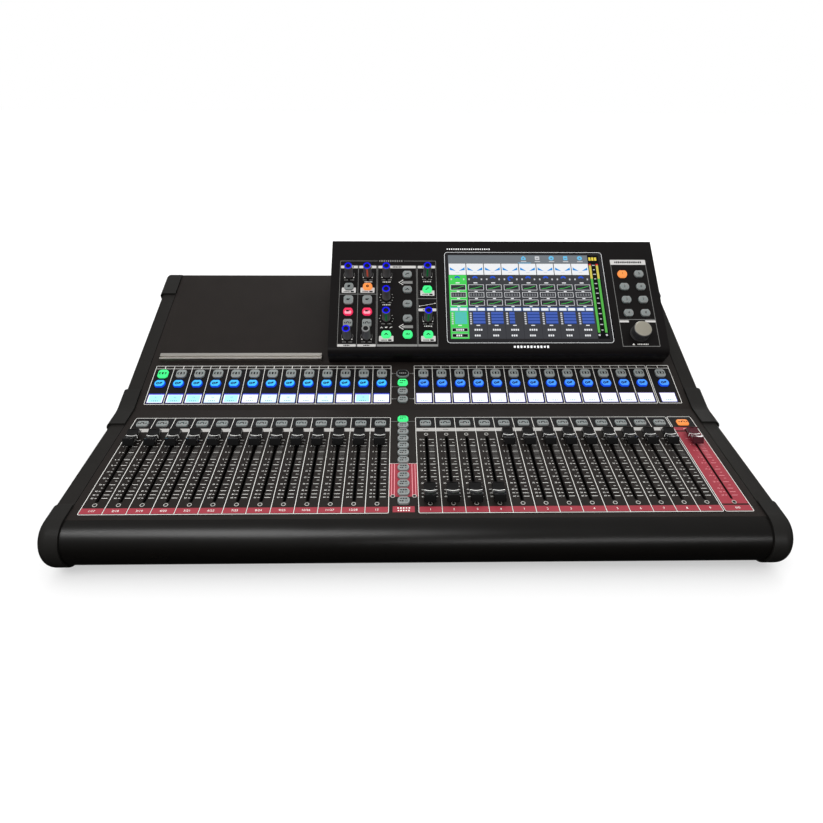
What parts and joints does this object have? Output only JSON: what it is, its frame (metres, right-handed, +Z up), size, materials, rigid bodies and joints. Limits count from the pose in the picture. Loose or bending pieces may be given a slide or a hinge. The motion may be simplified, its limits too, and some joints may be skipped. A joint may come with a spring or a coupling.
{
  "type": "mixing console",
  "caption": "Digital audio mixing console with banks of sliding faders, lit keys, rotary encoders, a tilted touch-screen module and a round front armrest.",
  "frame": {"origin": "bottom centre of the overall box, at table level under the feet", "axes": "+X to the operator's right, +Y from the armrest to the rear sockets, +Z up"},
  "size_m": [0.783, 0.4814, 0.2679],
  "materials": {
    "case_paint": "fine-textured satin black powder coat",
    "panel_paint": "fine-textured satin charcoal paint with printed legends",
    "armrest_black": "soft satin black",
    "cap_plastic": "satin black moulding",
    "fascia_black": "semi-gloss black overlay",
    "screen_glass": "clear glass over a lit picture",
    "display_white": "lit white and pale cyan displays",
    "ledge_aluminium": "satin anodised",
    "steel": "plain zinc-plated",
    "board_green": "green solder mask",
    "socket_black": "moulded black",
    "foot_rubber": "matt black",
    "screw_black": "black oxide",
    "main_fader_red": "translucent wine red",
    "main_knob_metal": "champagne metal top on a black body",
    "key_grey": "translucent grey silicone",
    "key_blue": "lit blue silicone",
    "fader_black": "polished black with a white line",
    "knob_black": "satin black with a lit ring"
  },
  "bodies": {
    "root": {"base_tray": "case_paint", "top_panel": "panel_paint", "front_armrest": "armrest_black", "side_rails": "case_paint", "corner_caps": "cap_plastic", "screen_housing": "case_paint", "screen_fascia": "fascia_black", "touch_screen": "screen_glass", "channel_displays": "display_white", "tablet_ledge": "ledge_aluminium", "fader_units": "steel", "circuit_boards": "board_green", "power_supply": "steel", "rear_sockets": "socket_black", "rubber_feet": "foot_rubber", "panel_screws": "screw_black"},
    "channel_fader_1": {"channel_fader_1": "fader_black"},
    "channel_fader_2": {"channel_fader_2": "fader_black"},
    "channel_fader_3": {"channel_fader_3": "fader_black"},
    "channel_fader_4": {"channel_fader_4": "fader_black"},
    "channel_fader_5": {"channel_fader_5": "fader_black"},
    "channel_fader_6": {"channel_fader_6": "fader_black"},
    "channel_fader_7": {"channel_fader_7": "fader_black"},
    "channel_fader_8": {"channel_fader_8": "fader_black"},
    "channel_fader_9": {"channel_fader_9": "fader_black"},
    "channel_fader_10": {"channel_fader_10": "fader_black"},
    "channel_fader_11": {"channel_fader_11": "fader_black"},
    "channel_fader_12": {"channel_fader_12": "fader_black"},
    "usb_fader": {"usb_fader": "fader_black"},
    "fx_fader_1": {"fx_fader_1": "fader_black"},
    "fx_fader_2": {"fx_fader_2": "fader_black"},
    "fx_fader_3": {"fx_fader_3": "fader_black"},
    "fx_fader_4": {"fx_fader_4": "fader_black"},
    "aux_fader_1": {"aux_fader_1": "fader_black"},
    "aux_fader_2": {"aux_fader_2": "fader_black"},
    "aux_fader_3": {"aux_fader_3": "fader_black"},
    "aux_fader_4": {"aux_fader_4": "fader_black"},
    "aux_fader_5": {"aux_fader_5": "fader_black"},
    "aux_fader_6": {"aux_fader_6": "fader_black"},
    "aux_fader_7": {"aux_fader_7": "fader_black"},
    "aux_fader_8": {"aux_fader_8": "fader_black"},
    "monitor_fader": {"monitor_fader": "fader_black"},
    "main_fader": {"main_fader": "main_fader_red"},
    "pfl_buttons": {"pfl_buttons": "key_grey"},
    "mode_buttons": {"mode_buttons": "key_grey"},
    "on_buttons": {"on_buttons": "key_blue"},
    "sel_buttons": {"sel_buttons": "key_grey"},
    "page_buttons": {"page_buttons": "key_grey"},
    "edit_buttons": {"edit_buttons": "key_grey"},
    "edit_knob_1": {"edit_knob_1": "knob_black"},
    "edit_knob_2": {"edit_knob_2": "knob_black"},
    "edit_knob_3": {"edit_knob_3": "knob_black"},
    "edit_knob_4": {"edit_knob_4": "knob_black"},
    "edit_knob_5": {"edit_knob_5": "knob_black"},
    "edit_knob_6": {"edit_knob_6": "knob_black"},
    "edit_knob_7": {"edit_knob_7": "knob_black"},
    "edit_knob_8": {"edit_knob_8": "knob_black"},
    "edit_knob_9": {"edit_knob_9": "knob_black"},
    "main_knob": {"main_knob": "main_knob_metal"},
    "power_rocker": {"power_rocker": "socket_black"}
  },
  "joints": [
    {"name": "main_fader_travel", "type": "slide", "parent": "root", "child": "main_fader", "axis": [0, 0.9903, 0.1392], "range_m": [-0.1, 0]},
    {"name": "channel_fader_1_travel", "type": "slide", "parent": "root", "child": "channel_fader_1", "axis": [0, 0.9903, 0.1392], "range_m": [-0.1, 0]},
    {"name": "fx_fader_1_travel", "type": "slide", "parent": "root", "child": "fx_fader_1", "axis": [0, 0.9903, 0.1392], "range_m": [0, 0.1]},
    {"name": "aux_fader_1_travel", "type": "slide", "parent": "root", "child": "aux_fader_1", "axis": [0, 0.9903, 0.1392], "range_m": [-0.1, 0]},
    {"name": "pfl_buttons_press", "type": "slide", "parent": "root", "child": "pfl_buttons", "axis": [0, -0.1392, 0.9903], "range_m": [-0.0008, 0], "stiffness_N_per_m": 8100, "springref_m": 0.001},
    {"name": "mode_buttons_press", "type": "slide", "parent": "root", "child": "mode_buttons", "axis": [0, -0.1392, 0.9903], "range_m": [-0.0008, 0], "stiffness_N_per_m": 3600, "springref_m": 0.001},
    {"name": "on_buttons_press", "type": "slide", "parent": "root", "child": "on_buttons", "axis": [0, -0.4067, 0.9135], "range_m": [-0.0008, 0], "stiffness_N_per_m": 8100, "springref_m": 0.001},
    {"name": "sel_buttons_press", "type": "slide", "parent": "root", "child": "sel_buttons", "axis": [0, -0.4067, 0.9135], "range_m": [-0.0008, 0], "stiffness_N_per_m": 8100, "springref_m": 0.001},
    {"name": "page_buttons_press", "type": "slide", "parent": "root", "child": "page_buttons", "axis": [0, -0.4067, 0.9135], "range_m": [-0.0008, 0], "stiffness_N_per_m": 1200, "springref_m": 0.001},
    {"name": "edit_buttons_press", "type": "slide", "parent": "root", "child": "edit_buttons", "axis": [0, -0.6639, 0.7478], "range_m": [-0.0008, 0], "stiffness_N_per_m": 7200, "springref_m": 0.001},
    {"name": "power_rocker_tip", "type": "hinge", "parent": "root", "child": "power_rocker", "pos_m": [-0.342, 0.23619, 0.092], "axis": [1, 0, 0], "range_deg": [-16, 0]},
    {"name": "main_knob_turn", "type": "hinge", "parent": "root", "child": "main_knob", "pos_m": [0.3138, 0.06709, 0.16465], "axis": [0, -0.6639, 0.7478], "continuous": true},
    {"name": "edit_knob_1_turn", "type": "hinge", "parent": "root", "child": "edit_knob_1", "pos_m": [-0.0926, 0.13925, 0.22871], "axis": [0, -0.6639, 0.7478], "continuous": true},
    {"name": "edit_knob_2_turn", "type": "hinge", "parent": "root", "child": "edit_knob_2", "pos_m": [-0.066, 0.1394, 0.22885], "axis": [0, -0.6639, 0.7478], "continuous": true},
    {"name": "edit_knob_3_turn", "type": "hinge", "parent": "root", "child": "edit_knob_3", "pos_m": [-0.0389, 0.1394, 0.22885], "axis": [0, -0.6639, 0.7478], "continuous": true},
    {"name": "edit_knob_4_turn", "type": "hinge", "parent": "root", "child": "edit_knob_4", "pos_m": [0.0194, 0.14, 0.22938], "axis": [0, -0.6639, 0.7478], "continuous": true},
    {"name": "edit_knob_5_turn", "type": "hinge", "parent": "root", "child": "edit_knob_5", "pos_m": [-0.0389, 0.11113, 0.20375], "axis": [0, -0.6639, 0.7478], "continuous": true},
    {"name": "edit_knob_6_turn", "type": "hinge", "parent": "root", "child": "edit_knob_6", "pos_m": [-0.0389, 0.08548, 0.18098], "axis": [0, -0.6639, 0.7478], "continuous": true},
    {"name": "edit_knob_7_turn", "type": "hinge", "parent": "root", "child": "edit_knob_7", "pos_m": [0.0194, 0.08533, 0.18085], "axis": [0, -0.6639, 0.7478], "continuous": true},
    {"name": "edit_knob_8_turn", "type": "hinge", "parent": "root", "child": "edit_knob_8", "pos_m": [-0.0926, 0.06424, 0.16212], "axis": [0, -0.6639, 0.7478], "continuous": true},
    {"name": "edit_knob_9_turn", "type": "hinge", "parent": "root", "child": "edit_knob_9", "pos_m": [-0.066, 0.06424, 0.16212], "axis": [0, -0.6639, 0.7478], "continuous": true},
    {"name": "channel_fader_2_travel", "type": "slide", "parent": "root", "child": "channel_fader_2", "axis": [0, 0.9903, 0.1392], "range_m": [-0.1, 0]},
    {"name": "channel_fader_3_travel", "type": "slide", "parent": "root", "child": "channel_fader_3", "axis": [0, 0.9903, 0.1392], "range_m": [-0.1, 0]},
    {"name": "channel_fader_4_travel", "type": "slide", "parent": "root", "child": "channel_fader_4", "axis": [0, 0.9903, 0.1392], "range_m": [-0.1, 0]},
    {"name": "channel_fader_5_travel", "type": "slide", "parent": "root", "child": "channel_fader_5", "axis": [0, 0.9903, 0.1392], "range_m": [-0.1, 0]},
    {"name": "channel_fader_6_travel", "type": "slide", "parent": "root", "child": "channel_fader_6", "axis": [0, 0.9903, 0.1392], "range_m": [-0.1, 0]},
    {"name": "channel_fader_7_travel", "type": "slide", "parent": "root", "child": "channel_fader_7", "axis": [0, 0.9903, 0.1392], "range_m": [-0.1, 0]},
    {"name": "channel_fader_8_travel", "type": "slide", "parent": "root", "child": "channel_fader_8", "axis": [0, 0.9903, 0.1392], "range_m": [-0.1, 0]},
    {"name": "channel_fader_9_travel", "type": "slide", "parent": "root", "child": "channel_fader_9", "axis": [0, 0.9903, 0.1392], "range_m": [-0.1, 0]},
    {"name": "channel_fader_10_travel", "type": "slide", "parent": "root", "child": "channel_fader_10", "axis": [0, 0.9903, 0.1392], "range_m": [-0.1, 0]},
    {"name": "channel_fader_11_travel", "type": "slide", "parent": "root", "child": "channel_fader_11", "axis": [0, 0.9903, 0.1392], "range_m": [-0.1, 0]},
    {"name": "channel_fader_12_travel", "type": "slide", "parent": "root", "child": "channel_fader_12", "axis": [0, 0.9903, 0.1392], "range_m": [-0.1, 0]},
    {"name": "usb_fader_travel", "type": "slide", "parent": "root", "child": "usb_fader", "axis": [0, 0.9903, 0.1392], "range_m": [-0.1, 0]},
    {"name": "fx_fader_2_travel", "type": "slide", "parent": "root", "child": "fx_fader_2", "axis": [0, 0.9903, 0.1392], "range_m": [0, 0.1]},
    {"name": "fx_fader_3_travel", "type": "slide", "parent": "root", "child": "fx_fader_3", "axis": [0, 0.9903, 0.1392], "range_m": [0, 0.1]},
    {"name": "fx_fader_4_travel", "type": "slide", "parent": "root", "child": "fx_fader_4", "axis": [0, 0.9903, 0.1392], "range_m": [0, 0.1]},
    {"name": "aux_fader_2_travel", "type": "slide", "parent": "root", "child": "aux_fader_2", "axis": [0, 0.9903, 0.1392], "range_m": [-0.1, 0]},
    {"name": "aux_fader_3_travel", "type": "slide", "parent": "root", "child": "aux_fader_3", "axis": [0, 0.9903, 0.1392], "range_m": [-0.1, 0]},
    {"name": "aux_fader_4_travel", "type": "slide", "parent": "root", "child": "aux_fader_4", "axis": [0, 0.9903, 0.1392], "range_m": [-0.1, 0]},
    {"name": "aux_fader_5_travel", "type": "slide", "parent": "root", "child": "aux_fader_5", "axis": [0, 0.9903, 0.1392], "range_m": [-0.1, 0]},
    {"name": "aux_fader_6_travel", "type": "slide", "parent": "root", "child": "aux_fader_6", "axis": [0, 0.9903, 0.1392], "range_m": [-0.1, 0]},
    {"name": "aux_fader_7_travel", "type": "slide", "parent": "root", "child": "aux_fader_7", "axis": [0, 0.9903, 0.1392], "range_m": [-0.1, 0]},
    {"name": "aux_fader_8_travel", "type": "slide", "parent": "root", "child": "aux_fader_8", "axis": [0, 0.9903, 0.1392], "range_m": [-0.1, 0]},
    {"name": "monitor_fader_travel", "type": "slide", "parent": "root", "child": "monitor_fader", "axis": [0, 0.9903, 0.1392], "range_m": [-0.1, 0]}
  ]
}
